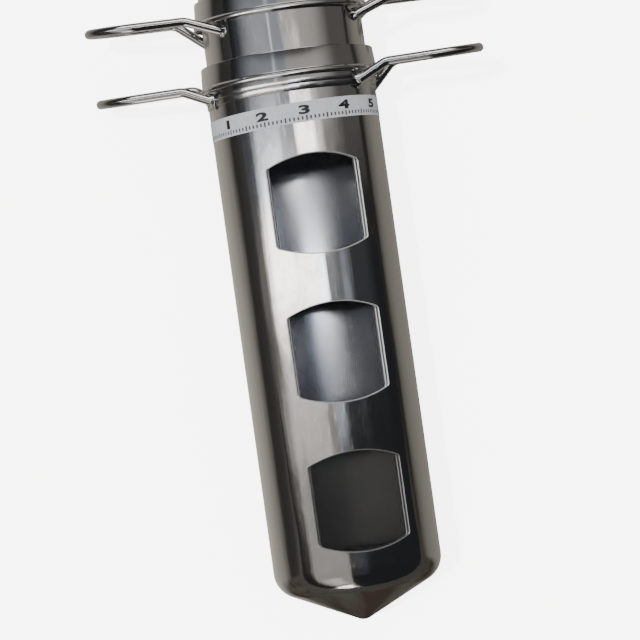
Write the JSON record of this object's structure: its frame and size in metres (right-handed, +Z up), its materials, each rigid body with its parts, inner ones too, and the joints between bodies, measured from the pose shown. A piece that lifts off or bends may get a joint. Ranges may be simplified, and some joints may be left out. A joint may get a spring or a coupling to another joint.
{
  "type": "grain sampling probe",
  "caption": "Polished steel twist probe for sampling grain: a windowed tube with a blunt conical tip, a windowed inner tube, collars and wire loop handles.",
  "frame": {"origin": "on the floor, under the middle of the probe as it lies on the lower collar's lip with its windows up", "axes": "+Y along the tube axis from tip to mouth, +Z up out of the windows, +X to the right with the tip towards the viewer"},
  "size_m": [0.178, 0.287, 0.0812],
  "materials": {
    "polished_tube": "mirror polished stainless steel",
    "satin_tube": "stainless steel, satin inside and polished outside",
    "polished_wire": "polished stainless steel wire",
    "label": "printed label strip"
  },
  "bodies": {
    "outer": {"outer_tube": "polished_tube", "nose_cone": "polished_tube", "stepped_ring": "polished_tube", "lower_collar": "polished_tube", "lower_handle_left": "polished_wire", "lower_handle_right": "polished_wire", "label_strip": "label"},
    "inner": {"inner_tube": "satin_tube", "end_disc": "satin_tube", "upper_collar": "polished_tube", "upper_handle_left": "polished_wire", "upper_handle_right": "polished_wire"}
  },
  "joints": [
    {"name": "inner_twist", "type": "hinge", "parent": "outer", "child": "inner", "pos_m": [0, 0, 0.0406], "axis": [0, 1, 0], "continuous": true}
  ]
}
